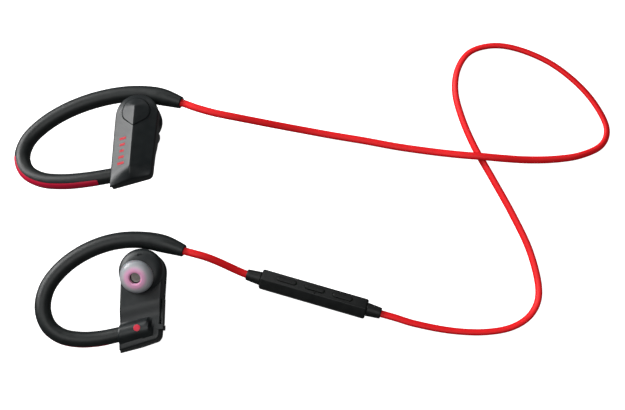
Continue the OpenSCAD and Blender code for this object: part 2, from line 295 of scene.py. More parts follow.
def finishOf(name, tones, rough, grain, bump, **sockets):
    # two close tones and two roughness values, mixed by noise, over a fine moulded grain
    mat, tree, shader = newFinish(name)
    fac = addClouds(tree, shader, grain[0], clouds["detail"], tones, clouds["tones"])
    spread = tree.nodes.new("ShaderNodeMapRange")
    spread.inputs["From Min"].default_value, spread.inputs["From Max"].default_value = clouds["rough"]
    spread.inputs["To Min"].default_value, spread.inputs["To Max"].default_value = rough
    tree.links.new(fac, spread.inputs["Value"])
    tree.links.new(spread.outputs["Result"], shader.inputs["Roughness"])
    addGrain(tree, shader, grain[1], *bump)
    for socket, value in sockets.items():
        shader.inputs[socket.replace("_", " ")].default_value = value
    return mat


black = {
    "rubber": ((0.006, 0.008, 0.008), (0.009, 0.012, 0.012)),
    "casing": ((0.008, 0.011, 0.012), (0.012, 0.015, 0.016)),
    "remote": ((0.003, 0.004, 0.004), (0.005, 0.006, 0.006)),
}
dull = {"Specular_IOR_Level": 0.4}      # weaker sheen than bare plastic
hookRubber = finishOf("hookRubber", black["rubber"], (0.42, 0.5), (400, 7000), (0.25, 0.00002), **dull)
casingPlastic = finishOf("casingPlastic", black["casing"], (0.34, 0.42), (300, 9000), (0.2, 0.00002), **dull)
capPlastic = finishOf("capPlastic", black["casing"], (0.36, 0.44), (350, 8000), (0.2, 0.00002), **dull)
innerPlastic = finishOf("innerPlastic", black["casing"], (0.36, 0.44), (280, 9000), (0.2, 0.00002), **dull)
remotePlastic = finishOf("remotePlastic", black["remote"], (0.36, 0.44), (400, 9000), (0.2, 0.00002), **dull)
keyRubber = finishOf("keyRubber", black["remote"], (0.48, 0.56), (500, 7000), (0.2, 0.00002), **dull)
reliefRubber = finishOf("reliefRubber", black["remote"], (0.45, 0.55), (500, 7000), (0.2, 0.00002), **dull)
flapRubber = finishOf("flapRubber", black["rubber"], (0.5, 0.6), (500, 7000), (0.2, 0.00002), **dull)
cordSkin = finishOf(
    "cordSkin", ((0.86, 0.002, 0.006), (0.92, 0.003, 0.008)), (0.5, 0.6), (220, 5000), (0.15, 0.00002),
    **dull,
)
stripRed = finishOf(
    "stripRed", ((0.5, 0.001, 0.03), (0.56, 0.002, 0.036)), (0.4, 0.48), (300, 6000), (0.1, 0.00001),
)
markRed = finishOf(
    "markRed", ((0.55, 0.002, 0.03), (0.62, 0.003, 0.035)), (0.4, 0.48), (900, 9000), (0.1, 0.00001),
)
motifRed = finishOf(
    "motifRed", ((0.42, 0.001, 0.012), (0.48, 0.002, 0.016)), (0.6, 0.7), (1500, 9000), (0.1, 0.00001),
    **dull,
)
steel = finishOf(
    "steel", ((0.5, 0.5, 0.51), (0.6, 0.6, 0.61)), (0.25, 0.35), (800, 6000), (0.1, 0.00001), Metallic=1,
)
meshSteel = finishOf(
    "meshSteel", ((0.55, 0.55, 0.5), (0.65, 0.65, 0.6)), (0.35, 0.45), (1500, 9000), (0.1, 0.00001),
    Metallic=1,
)
driverSteel = finishOf(
    "driverSteel", ((0.42, 0.42, 0.4), (0.5, 0.5, 0.48)), (0.3, 0.4), (600, 5000), (0.1, 0.00001), Metallic=1,
)
boardGreen = finishOf(
    "boardGreen", ((0.01, 0.1, 0.03), (0.02, 0.16, 0.05)), (0.3, 0.4), (900, 4000), (0.2, 0.00003),
)
batteryWrap = finishOf(
    "batteryWrap", ((0.05, 0.09, 0.16), (0.07, 0.12, 0.2)), (0.25, 0.35), (250, 3000), (0.2, 0.00003),
)


silicone = {
    # share of the tip's radius: colour there
    "stops": {
        0.34: (1.0, 0.45, 0.7), 0.54: (1.0, 0.48, 0.72), 0.74: (0.5, 0.5, 0.53), 1.0: (0.24, 0.26, 0.28),
    },
    "grain": (2500, 0.08, 0.00002),
    "sockets": {
        "Roughness": 0.32, "Subsurface Weight": 0.25, "Subsurface Radius": (1.0, 0.6, 0.6),
        "Subsurface Scale": 0.002, "Transmission Weight": 0.15,
    },
}


def tipSilicone():
    # pink core that fades into a milky, half-clear flange: the tone attribute is the distance from the bore
    mat, tree, shader = newFinish("tipSilicone")
    tone = tree.nodes.new("ShaderNodeAttribute")
    tone.attribute_name = "tone"
    ramp = tree.nodes.new("ShaderNodeValToRGB")
    stops = ramp.color_ramp.elements
    places = list(silicone["stops"])
    stops[0].position, stops[1].position = places[:2]
    for at in places[2:]:
        stops.new(at)
    for stop, colour in zip(stops, silicone["stops"].values()):
        stop.color = (*colour, 1)
    tree.links.new(tone.outputs["Fac"], ramp.inputs["Fac"])
    tree.links.new(ramp.outputs["Color"], shader.inputs["Base Color"])
    addGrain(tree, shader, *silicone["grain"])
    for socket, value in silicone["sockets"].items():
        shader.inputs[socket].default_value = value
    return mat


tipClear = tipSilicone()
print("stage: finishes made")


# cords, each along its own route in millimetres
cord = {
    "width": 2.95,
    "thick": 2.25,
    "sides": 20,
    "perPoint": 10,
    # route points between which the flat cord rolls, and by how many degrees
    "longRolls": [(12, 18, 50), (35, 40, -25)],
    "shortRolls": [(1, 7, 15)],
}
longRoute = [
    (27.74, 45.43, 11.94), (31.61, 44.17, 12.46), (36.8, 42.1, 12.9), (43.8, 40.1, 12.8),
    (51.8, 38.8, 11.6), (60.8, 37.9, 8.8), (69.8, 37.1, 5.8), (79.8, 36.1, 3), (90.8, 34.5, 1.6),
    (102.8, 32.5, 1.3), (115.8, 30, 1.3), (129.8, 27.7, 2), (140.8, 25.9, 3.6), (148.8, 25.1, 4.1),
    (156.8, 24.5, 3.6), (166.8, 24.4, 2), (177.8, 24.9, 1.3), (187.8, 26.5, 1.3),
    (196.4, 30.7, 1.3), (199, 38, 1.3), (195, 48.1, 1.3), (187.8, 57.5, 1.3), (177.8, 65.9, 1.3),
    (165.8, 71.6, 1.3), (155.3, 73.3, 1.3), (145.8, 70.5, 1.3), (140.6, 63.1, 1.3),
    (139.2, 53.5, 1.3), (141.3, 42.8, 1.3), (145.8, 30.5, 1.3), (152.3, 17.5, 1.3),
    (159.6, 2.7, 1.3), (165.8, -12.5, 1.3), (168.4, -27.5, 1.3), (165.4, -36.3, 1.3),
    (157.8, -41.7, 1.3), (146.8, -43.7, 1.3), (133.8, -43.1, 1.6), (120.8, -40.7, 2.3),
    (113.3, -38.5, 2.8), (107.7, -36.9, 2.9), (104.9, -36.1, 2.9),
]
shortRoute = [
    (30.44, -13.4, 10.8), (34.33, -14.67, 11.14), (37.8, -15.6, 11.1), (41.8, -16.6, 10.2),
    (46.2, -18, 8.2), (50.3, -19.5, 5.9), (53.8, -20.8, 4), (56.7, -21.8, 3), (59.5, -22.6, 2.9),
]


def makeCord(name, node, route, rolls):
    perPoint, sides = cord["perPoint"], cord["sides"]
    path = [Vector(curvePoint(route, i / perPoint)) for i in range((len(route) - 1) * perPoint + 1)]
    rings = []
    for i, (p, across, above) in enumerate(pathFrames(path)):
        roll = math.radians(sum(turn * ease(low, high, i / perPoint) for low, high, turn in rolls))
        ring = []
        for k in range(sides):
            a = 2 * math.pi * k / sides
            u = cord["width"] / 2 * math.cos(a)
            v = cord["thick"] / 2 * math.sin(a)
            flatU = u * math.cos(roll) - v * math.sin(roll)
            flatV = u * math.sin(roll) + v * math.cos(roll)
            ring.append(p + across * flatU + above * flatV)
        rings.append(ring)
    obj = loft(name, rings, Matrix.Scale(mm, 4), cordSkin)
    fit(obj, "frame", "cord_red", node)


makeCord("longCord", "long_cord", longRoute, cord["longRolls"])
makeCord("shortCord", "short_cord", shortRoute, cord["shortRolls"])


# where each earpiece lies, worked out from its joints
pinSlope = math.radians(13)
pinStart = Vector((-7.6, -23.4, -2.6))


def earpiecePlace(twist, turned, outwards, handed):
    # matrix from an earpiece's own frame, in millimetres, to the row frame
    pin = Vector(joints[twist]["axis"]).normalized() * turned
    z = Vector(outwards).normalized()
    beside = z.cross(pin).normalized() * handed
    x = pin * math.cos(pinSlope) - beside * math.sin(pinSlope)
    y = pin * math.sin(pinSlope) + beside * math.cos(pinSlope)
    turn = Matrix((x, y, z)).transposed()
    at = Vector(joints[twist]["pos_m"]) - turn @ pinStart * mm
    place = turn.to_4x4() @ Matrix.Scale(mm, 4)
    place.translation = at
    return place


pressAxis = Vector(joints["sport_button_press"]["axis"])
coverAxis = Vector(joints["socket_cover_hinge"]["axis"])
leftPlace = earpiecePlace("left_earpiece_twist", 1, -pressAxis, 1)
rightPlace = earpiecePlace("right_earpiece_twist", -1, coverAxis, -1)


# ear hooks, in the earpiece's own frame in millimetres
hook = {
    "perPoint": 10,
    "backSides": 42,        # flats round the tube's back
    "grooveSides": 12,      # flats over the groove
    "grooveWall": 1.2,      # degrees that each side wall of the groove takes
    "reach": {"left": 1.2, "right": 0.92},     # how far each is drawn out from its root
    "stripFrom": 2 / 3,     # in points along the hook
    "stripTo": 5.0,
    "stripEdge": 0.012,     # in points, length of the step at each end of the groove
    "stripClear": 0.04,     # in points, clear of other rings round each end
    "stripTurn": 20,        # degrees from the hook's side towards its outer face
    "stripHalf": 32,        # degrees of the tube's round to each side
    "grooveDepth": 0.5,
    "chamfer": 0.25,
    "boreR": 1.6,
    "boreDeep": 3.0,
    "pinR": 1.5,
    "pinDeep": 4.0,
    "closeR": 0.02,         # radius at which a bore's bottom is closed
}
hookPoints = [
    (-7.6, -23.4, -2.6), (-15.9, -24.9, -2.8), (-24, -25.3, -3.4), (-31.4, -24, -4.2),
    (-37, -20, -5), (-39.5, -13.4, -5.5), (-38.2, -6, -5.6), (-33.4, 0.6, -5.4), (-26.5, 6, -5),
    (-18.2, 9.9, -4.6), (-9.4, 12, -4.2), (-0.5, 12.2, -4), (7.9, 10.5, -4), (15.6, 7.7, -4),
]
hookRadii = [2.8, 2.9, 2.95, 2.95, 3, 3.05, 3.05, 3.1, 3.15, 3.2, 3.2, 3.2, 3.4, 2.35]


def hookStations():
    # places along the hook, closer together at the ends of the groove
    last = len(hookPoints) - 1
    marks = set(i / hook["perPoint"] for i in range(last * hook["perPoint"] + 1))
    for s in (hook["stripFrom"], hook["stripTo"]):
        marks = {m for m in marks if abs(m - s) > hook["stripClear"]}
        marks |= {s - hook["stripEdge"], s, s + hook["stripEdge"]}
    return sorted(marks)


def hookFrames(stations, side):
    reach = hook["reach"][side]
    root = hookPoints[0][0]
    drawn = [(root + (x - root) * reach if x < root else x, y, z) for x, y, z in hookPoints]
    path = [Vector(curvePoint(drawn, s)) for s in stations]
    radii = [curvePoint([(r,) for r in hookRadii], s)[0] for s in stations]
    return pathFrames(path), radii


def hookAngles():
    # angles round the tube: fine steps over the groove, even ones round the back
    half, wall = hook["stripHalf"], hook["grooveWall"]
    front = steps(-half, half, hook["grooveSides"])
    back = steps(half + wall, 360 - half - wall, hook["backSides"])
    return [math.radians(a + hook["stripTurn"]) for a in front + back]


def makeSleeve(name, place, side):
    stations = hookStations()
    rows, radii = hookFrames(stations, side)
    angles = hookAngles()
    rings = []
    for s, (p, across, above), r in zip(stations, rows, radii):
        inGroove = hook["stripFrom"] <= s <= hook["stripTo"]
        ring = []
        for k, a in enumerate(angles):
            sunk = inGroove and k <= hook["grooveSides"]
            d = r - (hook["grooveDepth"] if sunk else 0)
            ring.append(p + across * (d * math.cos(a)) + above * (d * math.sin(a)))
        rings.append(ring)

    def endRing(row, r, inwards):
        p, across, above = row
        ahead = across.cross(above)
        return [
            p + ahead * inwards + across * (r * math.cos(a)) + above * (r * math.sin(a)) for a in angles
        ]

    c = hook["chamfer"]
    first, final = rows[0], rows[-1]
    lead = [
        endRing(first, hook["closeR"], hook["pinDeep"]),
        endRing(first, hook["pinR"], hook["pinDeep"]),
        endRing(first, hook["pinR"], 0),
        endRing(first, radii[0] - c, 0),
    ]
    tail = [
        endRing(final, radii[-1] - c, c),
        endRing(final, hook["boreR"], c),
        endRing(final, hook["boreR"], -hook["boreDeep"]),
        endRing(final, hook["closeR"], -hook["boreDeep"]),
    ]
    return loft(name, lead + rings + tail, place, hookRubber)


strip = {
    "stations": 60,
    "endGap": 0.006,        # in points along the hook
    "endLong": 0.12,        # in points, where the width falls off
    "endWidth": 0.72,       # share of the width left at the very end
    "sideGap": 0.8,         # degrees
    "floorGap": 0.03,
    "proud": 0.06,
    "crown": 0.1,
}


def makeStrip(name, place, side):
    # inlaid strip: crowned arc with its ends rounded off
    low, high = hook["stripFrom"] + strip["endGap"], hook["stripTo"] - strip["endGap"]
    stations = steps(low, high, strip["stations"])
    rows, radii = hookFrames(stations, side)
    half = hook["stripHalf"] - strip["sideGap"]
    rings = []
    for s, (p, across, above), r in zip(stations, rows, radii):
        nearEnd = min(1, min(s - low, high - s) / strip["endLong"])
        swell = math.sqrt(max(0, 1 - (1 - nearEnd) ** 2))
        width = half * lerp(strip["endWidth"], 1, swell)
        crown = [(t, r + strip["proud"] - strip["crown"] * t ** 4) for t in steps(-1, 1, 10)]
        floor = [(t, r - hook["grooveDepth"] + strip["floorGap"]) for t in steps(1, -1, 4)]
        ring = []
        for t, d in crown + floor:
            a = math.radians(hook["stripTurn"] + width * t)
            ring.append(p + across * (d * math.cos(a)) + above * (d * math.sin(a)))
        rings.append(ring)
    return loft(name, rings, place, stripRed)


# casing: outer face up at +Z, inner face at -Z, foot towards -Y
casing = {
    "capR": 8.4,
    "footLeft": 8.2,
    "footRight": 7.6,
    "footDrop": 30.2,
    "footRise": 4.6,
    "wall": 1.1,
    "ridge": 5.6,
    "slope": 0.5,
    "ridgeEnd": 1.6,
    "ridgeSoft": 0.22,
    "bevel": 5.5,
    "bevelLow": 0.42,      # share of the height left at the foot
    "partZ": 0.6,
    "edgeSoft": 0.45,
    "innerSoft": 0.6,
    "cornerLeft": 0.6,
    "cornerRight": 1.8,
    "innerInset": 0.4,
    "band": 2.2,            # height over the foot with closer rows
    "rows": (10, 44, 24),   # in that band, up to the middle of the top round, and over the round
    "straight": -6,         # the rows are level above this height
    "slanted": 0.9,         # and slant as the foot does below this share of its drop
    # shares of the half width, close together at the ridge and at the edge
    "columns": [
        0, 0.012, 0.03, 0.055, 0.09, 0.15, 0.25, 0.36, 0.47, 0.58, 0.69, 0.79, 0.87, 0.92, 0.95, 0.975, 1,
    ],
}
innerFace = {
    "high": 3.4,            # height of the plateau under the speaker
    "rise": (1.5, 3.2, 9.5),        # further height, gained between these two distances from the pin
    "fall": (0.9, -3.2, -7.5),      # height lost towards the foot
    "deepest": 4.2,
    "bulgeR": 3.5,
    "bulgeOut": 2.6,
    "bulgeEnd": (13.3, 11.3),
    "blend": (0.12, 0.3),
}


def footY(x):
    c = casing
    share = (x + c["footLeft"]) / (c["footLeft"] + c["footRight"])
    return -c["footDrop"] + c["footRise"] * share


def roofZ(x, y):
    # ridged face with a domed top, rolled down at the foot
    c = casing
    away = math.hypot(x, max(0, y - c["ridgeEnd"]))
    soft = c["ridgeSoft"]
    z = c["ridge"] - c["slope"] * (math.hypot(away, soft) - soft)
    near = min(1, max(0, (y - footY(x)) / c["bevel"]))
    keep = 1 - (1 - c["bevelLow"]) * (1 - near) ** 2
    return c["partZ"] + (z - c["partZ"]) * keep


def innerFaceZ(x, y, solid=True):
    # inner face: plateau under the speaker, valley, round bulge over the hook's pin, and falling foot
    f = innerFace
    ahead = Vector((math.cos(pinSlope), math.sin(pinSlope)))
    rel = Vector((x, y)) - pinStart.xy
    u, v = rel.dot(ahead), ahead.cross(rel)
    rise, fall = f["rise"], f["fall"]
    plateau = f["high"] + rise[0] * ease(rise[1], rise[2], v) - fall[0] * ease(fall[1], fall[2], v)
    if not solid:
        return -min(plateau, f["deepest"])
    bulge = 0.0
    if abs(v) < f["bulgeR"]:
        bulge = f["bulgeOut"] + math.sqrt(f["bulgeR"] ** 2 - v * v)
    bulge *= ease(*f["bulgeEnd"], u)
    high, low = max(plateau, bulge), min(plateau, bulge)
    extra, reach = f["blend"]
    return -(high + extra * math.exp(-(high - low) / reach))


def casingRows(inset):
    # rows across the casing, from the slanted foot to the round top: (centre height, slope, left, right)
    c = casing
    cap = c["capR"] - inset
    foot = footY(0) + inset
    slope0 = c["footRise"] / (c["footLeft"] + c["footRight"])
    bandRows, sideRows, topRows = c["rows"]
    heights = [foot + c["band"] * (i / bandRows) ** 1.6 for i in range(bandRows)]
    heights += steps(foot + c["band"], 0, sideRows)[:-1]
    heights += [cap * math.sin(math.radians(a)) for a in steps(0, 88, topRows)]
    heights.append(cap * 0.99999)
    rows = []
    for h in heights:
        m = slope0 * ease(c["straight"], foot * c["slanted"], h)
        if h >= 0:
            half = math.sqrt(max(1e-6, cap * cap - h * h))
            rows.append((h, 0.0, -half, half))
            continue
        left = -cap
        right = cap
        for _ in range(4):      # each side is nearer its true place after every round
            tl = min(1, -(h + m * left) / c["footDrop"])
            left = -lerp(cap, c["footLeft"] - inset, tl)
            tr = min(1, -(h + m * right) / (c["footDrop"] - c["footRise"]))
            right = lerp(cap, c["footRight"] - inset, tr)
        for side, corner in ((0, c["cornerLeft"]), (1, c["cornerRight"])):
            d = h - foot
            if d < corner:
                trim = corner - math.sqrt(max(0, corner ** 2 - (corner - d) ** 2))
                if side:
                    right -= trim
                else:
                    left += trim
        rows.append((h, m, left, right))
    return rows


def shellSurface(inset, faceZ, edgeSoft, edgeZ):
    # grid of points over the casing's plan, with the face's edge rounded over
    shares = casing["columns"]
    columns = [-s for s in reversed(shares[1:])] + shares
    grid = []
    rows = casingRows(inset)
    foot = rows[0][0]
    for h, m, left, right in rows:
        line = []
        for s in columns:
            x = s * (right if s > 0 else -left)
            y = h + m * x
            d = min(x - left, right - x, h - foot)
            if h > 0:
                d = casing["capR"] - inset - math.hypot(x, y)
            z = faceZ(x, y)
            if edgeSoft and d < edgeSoft:
                trim = edgeSoft - math.sqrt(max(0, edgeSoft ** 2 - (edgeSoft - d) ** 2))
                z -= math.copysign(trim, z - edgeZ)
            line.append((x, y, z))
        grid.append(line)
    return grid


def gridRim(rows, columns):
    # indices round the edge of a grid, in order
    rim = list(range(columns))
    rim += [r * columns + columns - 1 for r in range(1, rows)]
    rim += [(rows - 1) * columns + c for c in range(columns - 2, -1, -1)]
    rim += [r * columns for r in range(rows - 2, 0, -1)]
    return rim


def makeShell(name, place, finish, outer, inner, rimZ):
    # closed shell between two grids that share their layout, open at the height rimZ
    rows, columns = len(outer), len(outer[0])
    verts = [p for line in outer for p in line]
    verts += [p for line in inner for p in line]
    half = rows * columns
    faces = []
    for base in (0, half):
        for r in range(rows - 1):
            for c in range(columns - 1):
                a = base + r * columns + c
                faces.append([a, a + 1, a + columns + 1, a + columns])
    rim = gridRim(rows, columns)
    outRim = [len(verts) + i for i in range(len(rim))]
    verts += [(verts[i][0], verts[i][1], rimZ) for i in rim]
    inRim = [len(verts) + i for i in range(len(rim))]
    verts += [(verts[half + i][0], verts[half + i][1], rimZ) for i in rim]
    for i in range(len(rim)):
        j = (i + 1) % len(rim)
        faces.append([rim[i], rim[j], outRim[j], outRim[i]])
        faces.append([outRim[i], outRim[j], inRim[j], inRim[i]])
        faces.append([inRim[i], inRim[j], half + rim[j], half + rim[i]])
    return makePiece(name, verts, faces, place, finish, 30)


drop = {
    "r": 5.6,
    "y": 0.6,
    "tip": -6.9,
    "tipInset": 1.4,        # how far the point moves for each millimetre of inset
    "roundSides": 72,
    "straightSides": 12,
    "cut": (2, 9),          # heights between which the outer shell is cut through
}


def dropOutline(inset):
    # outline of the button: a circle drawn out to a point at the foot side
    r = drop["r"] - inset
    tip = drop["tip"] + drop["tipInset"] * inset
    touch = math.degrees(math.acos(r / (drop["y"] - tip)))
    points = arc(0, drop["y"], r, r, -90 + touch, 270 - touch, drop["roundSides"])
    (endX, endY), (startX, startY) = points[-1], points[0]
    shares = steps(0, 1, drop["straightSides"])[1:-1]
    down = [(lerp(endX, 0, t), lerp(endY, tip, t)) for t in shares]
    up = [(lerp(0, startX, t), lerp(tip, startY, t)) for t in shares]
    return points + down + [(0, tip)] + up


def prism(name, outline, low, high, place):
    rings = [[(x, y, z) for x, y in outline] for z in (low, high)]
    return loft(name, rings, place, casingPlastic)


def makeOuterShell(name, place):
    c = casing
    outer = shellSurface(0, roofZ, c["edgeSoft"], c["partZ"])
    inner = shellSurface(c["wall"], lambda x, y: roofZ(x, y) - c["wall"], 0, c["partZ"])
    inner = [[(x, y, max(z, c["partZ"] + 0.1)) for x, y, z in line] for line in inner]
    shell = makeShell(name, place, casingPlastic, outer, inner, c["partZ"])
    return cut(shell, prism("dropCut", dropOutline(0), *drop["cut"], place), sharp=30)


def makeInnerShell(name, place, cutters):
    c = casing
    inset = c["innerInset"]
    outer = shellSurface(inset, innerFaceZ, c["innerSoft"], c["partZ"])
    inner = shellSurface(inset + c["wall"], lambda x, y: innerFaceZ(x, y, False) + c["wall"], 0, c["partZ"])
    shell = makeShell(name, place, innerPlastic, outer, inner, c["partZ"] - 0.06)
    return cut(shell, *cutters, sharp=30)


faceCap = {
    "shares": [0, 0.02, 0.05, 0.1, 0.2, 0.32, 0.45, 0.58, 0.7, 0.8, 0.88, 0.94, 0.975, 1],
    "edgeFrom": 0.94,       # share of the way out where the edge starts to fall
    "edge": 0.12,
    "foot": 2.5,
    "hollow": 0.6,          # share of the outline
    "hollowRoof": 3.4,
    "pressed": (0.2, 0.2),  # lift over the face and gap all round: the button
    "fixed": (0.1, 0.06),   # and the fixed cap
}


def makeCap(name, place, lift, inset):
    # drop-shaped cap whose top repeats the ridge and dome
    c = faceCap
    outline = dropOutline(inset)
    rings = []
    for t in c["shares"]:
        ring = []
        for x, y in outline:
            px, py = x * t, lerp(min(casing["ridgeEnd"], y * 0.96), y, t)
            fall = max(0, (t - c["edgeFrom"]) / (1 - c["edgeFrom"]))
            ring.append((px, py, roofZ(px, py) + lift - c["edge"] * fall ** 2))
        rings.append(ring)
    for share, z in ((1, c["foot"]), (c["hollow"], c["foot"]), (c["hollow"], c["hollowRoof"])):
        rings.append([(x * share, y * share, z) for x, y in outline])
    return loft(name, rings, place, capPlastic, 30)


# speaker housing, sound tube and ear tip
speaker = {
    "capR": 8.4,
    "base": -4.2,
    "side": 1.0,            # height of the straight side
    "sideInside": 0.6,
    "face": -9.0,
    "power": 0.62,
    "wall": 1.2,
    "slot": (2.2, 0.8),
    "slotY": 5.4,
    "slotCut": (-12, -8.1),
    "nozzleAt": (0, -1.4, -8),
    "tilt": 28,
    "nozzleR": 2.5,
    "nozzleLong": 5.4,
    "boreR": 1.9,
    "seatDeep": 0.5,        # step in the bore that holds the screen
    "seatWide": 0.4,
    "lip": 0.2,
}
nozzleTurn = Matrix.Rotation(math.radians(180 - speaker["tilt"]), 4, "X")
nozzlePlace = Matrix.Translation(speaker["nozzleAt"]) @ nozzleTurn


def domeProfile(r, base, side, top):
    # quarter of a squared-off round, from the rim to the middle
    power = speaker["power"]
    points = []
    for a in steps(0, 90, 22):
        out, up = math.cos(math.radians(a)), math.sin(math.radians(a))
        points.append((r * max(0, out) ** power, base - side + (top - base + side) * up ** power))
    return [(r, base)] + points[:-1] + [(0.001, top)]


def makeSpeaker(name, place):
    s = speaker
    outer = domeProfile(s["capR"], s["base"], s["side"], s["face"])
    w = s["wall"]
    inner = domeProfile(s["capR"] - w, s["base"], s["sideInside"], s["face"] + w)
    dome = lathe(name, outer + inner[::-1], place, innerPlastic, 128)
    wide, high = s["slot"]
    corners = ((-1, -1), (1, -1), (1, 1), (-1, 1))
    slotEdge = [(x * wide / 2, s["slotY"] + y * high / 2) for x, y in corners]
    cut(dome, prism("slotCut", slotEdge, *s["slotCut"], place))
    long, lip, seatR = s["nozzleLong"], s["lip"], s["boreR"] - s["seatWide"]
    tube = [
        (s["nozzleR"], 0.0), (s["nozzleR"], long - lip), (s["nozzleR"] - lip, long), (s["boreR"], long),
        (s["boreR"], long - s["seatDeep"]), (seatR, long - s["seatDeep"]), (seatR, 0.0),
    ]
    return joined(dome, lathe(name + "Tube", tube, place @ nozzlePlace, innerPlastic, 64))


def joined(first, *others):
    # several meshes as one piece
    bm = bmesh.new()
    for o in (first, *others):
        bm.from_mesh(o.data)
    bm.to_mesh(first.data)
    bm.free()
    for o in others:
        bpy.data.objects.remove(o)
    return first


earTip = {
    "r": 6.3,
    "top": 7.3,
    "rim": 4.6,             # height of the flange's widest round
    "mouthR": 2.6,
    "skin": 0.5,
    "stemR": 3.5,
    "gripFrom": 3.1,
    "boreR": 2.15,
}


def makeTip(name, place):
    t, s = earTip, speaker
    mouth, skin, rim, top = t["mouthR"], t["skin"], t["rim"], t["top"]
    high = top - rim
    outer = [(x, z) for z, x in arc(rim, mouth, high, t["r"] - mouth, 0, 90, 20)]
    lip = arc(t["r"] - skin / 2, rim, skin / 2, skin / 2, 0, -180, 8)[1:]
    inner = [(x, z) for z, x in arc(rim, mouth, high - skin, t["r"] - skin - mouth, 90, 15, 14)[1:]]
    stem = [(t["stemR"], top - 1.6), (t["stemR"], t["gripFrom"] + 0.2), (t["stemR"] - 0.2, t["gripFrom"])]
    bore = [
        (s["nozzleR"], t["gripFrom"]), (s["nozzleR"], s["nozzleLong"]), (t["boreR"], s["nozzleLong"] + 0.3),
        (t["boreR"] - 0.05, top - 0.25), (t["boreR"] + 0.1, top - 0.05),
    ]
    profile = outer + lip + inner + stem + bore
    return lathe(name, profile, place @ nozzlePlace, tipClear, 96, 50, lambda r, z: min(1, r / t["r"]))


def groupOf(name, inputs):
    # an empty node tree with a mesh in, a mesh out and the named sizes
    group = bpy.data.node_groups.new(name, "GeometryNodeTree")
    group.interface.new_socket("Geometry", in_out="INPUT", socket_type="NodeSocketGeometry")
    for label, value in inputs.items():
        kind = "NodeSocketInt" if isinstance(value, int) else "NodeSocketFloat"
        group.interface.new_socket(label, in_out="INPUT", socket_type=kind).default_value = value
    group.interface.new_socket("Geometry", in_out="OUTPUT", socket_type="NodeSocketGeometry")
    start = group.nodes.new("NodeGroupInput")
    end = group.nodes.new("NodeGroupOutput")
    return group, start, end


def runGroup(name, group, values, place, finish, sharp=35):
    # the tree's result as a plain mesh in its place
    obj = bpy.data.objects.new(name, bpy.data.meshes.new(name))
    bpy.context.scene.collection.objects.link(obj)
    m = obj.modifiers.new("nodes", "NODES")
    m.node_group = group
    for item in group.interface.items_tree:
        if item.in_out == "INPUT" and item.name in values:
            m[item.identifier] = values[item.name]
    graph = bpy.context.evaluated_depsgraph_get()
    mesh = bpy.data.meshes.new_from_object(obj.evaluated_get(graph))
    obj.modifiers.clear()
    mesh.transform(place)
    bm = bmesh.new()
    bm.from_mesh(mesh)
    bmesh.ops.recalc_face_normals(bm, faces=bm.faces)
    bm.to_mesh(mesh)
    bm.free()
    markEdges(mesh, sharp)
    mesh.materials.clear()
    mesh.materials.append(finish)
    obj.data = mesh
    return obj


meshDisc = {"Radius": 1.85, "Wires": 15, "Wire": 0.055}      # inputs of the woven screen's tree
screen = {
    "deep": 0.35,           # below the sound tube's mouth
    "rim": [(1.9, -0.12), (1.9, 0.12), (1.72, 0.12), (1.72, -0.12)],
    "back": [(0.001, -0.3), (1.88, -0.3), (1.88, -0.14), (0.001, -0.14)],
}


def meshGroup():
    # woven screen: a grid cut to a circle, its edges made into wires
    group, start, end = groupOf("screen", meshDisc)
    new = group.nodes.new
    link = group.links.new
    double = new("ShaderNodeMath")
    double.operation = "MULTIPLY"
    double.inputs[1].default_value = 2
    link(start.outputs["Radius"], double.inputs[0])
    grid = new("GeometryNodeMeshGrid")
    link(double.outputs[0], grid.inputs["Size X"])
    link(double.outputs[0], grid.inputs["Size Y"])
    link(start.outputs["Wires"], grid.inputs["Vertices X"])
    link(start.outputs["Wires"], grid.inputs["Vertices Y"])
    where = new("GeometryNodeInputPosition")
    far = new("ShaderNodeVectorMath")
    far.operation = "LENGTH"
    link(where.outputs[0], far.inputs[0])
    outside = new("FunctionNodeCompare")
    outside.operation = "GREATER_THAN"
    link(far.outputs["Value"], outside.inputs[0])
    link(start.outputs["Radius"], outside.inputs[1])
    drop = new("GeometryNodeDeleteGeometry")
    link(grid.outputs["Mesh"], drop.inputs["Geometry"])
    link(outside.outputs["Result"], drop.inputs["Selection"])
    wires = new("GeometryNodeMeshToCurve")
    link(drop.outputs["Geometry"], wires.inputs["Mesh"])
    ring = new("GeometryNodeCurvePrimitiveCircle")
    ring.inputs["Resolution"].default_value = 6
    link(start.outputs["Wire"], ring.inputs["Radius"])
    tube = new("GeometryNodeCurveToMesh")
    link(wires.outputs["Curve"], tube.inputs["Curve"])
    link(ring.outputs["Curve"], tube.inputs["Profile Curve"])
    tube.inputs["Fill Caps"].default_value = True
    real = new("GeometryNodeRealizeInstances")
    link(tube.outputs["Mesh"], real.inputs["Geometry"])
    paint = new("GeometryNodeSetMaterial")
    paint.inputs["Material"].default_value = meshSteel
    link(real.outputs["Geometry"], paint.inputs["Geometry"])
    link(paint.outputs["Geometry"], end.inputs["Geometry"])
    return group


screenGroup = meshGroup()


def makeScreen(name, place):
    at = place @ nozzlePlace @ Matrix.Translation((0, 0, speaker["nozzleLong"] - screen["deep"]))
    wires = runGroup(name, screenGroup, meshDisc, at, meshSteel)
    rim = lathe(name + "Rim", screen["rim"], at, meshSteel, 48)
    back = lathe(name + "Back", screen["back"], at, meshSteel, 48)
    return joined(wires, rim, back)


# round mark on the inner face, and printed bars on the outer one
mark = {"at": (-0.6, -21.6, -6.18), "r": 1.25, "deep": 0.35, "crown": 0.1, "gap": 0.05, "room": 0.3}
motif = {"Bars": 5, "Pitch": 2.6, "Width": 2.6, "Swing": 0.2, "Bar": 1.0}     # inputs of the bars' tree
motifPlace = {"x": -4.0, "y": -21.6, "thick": 0.08, "lift": 0.01}


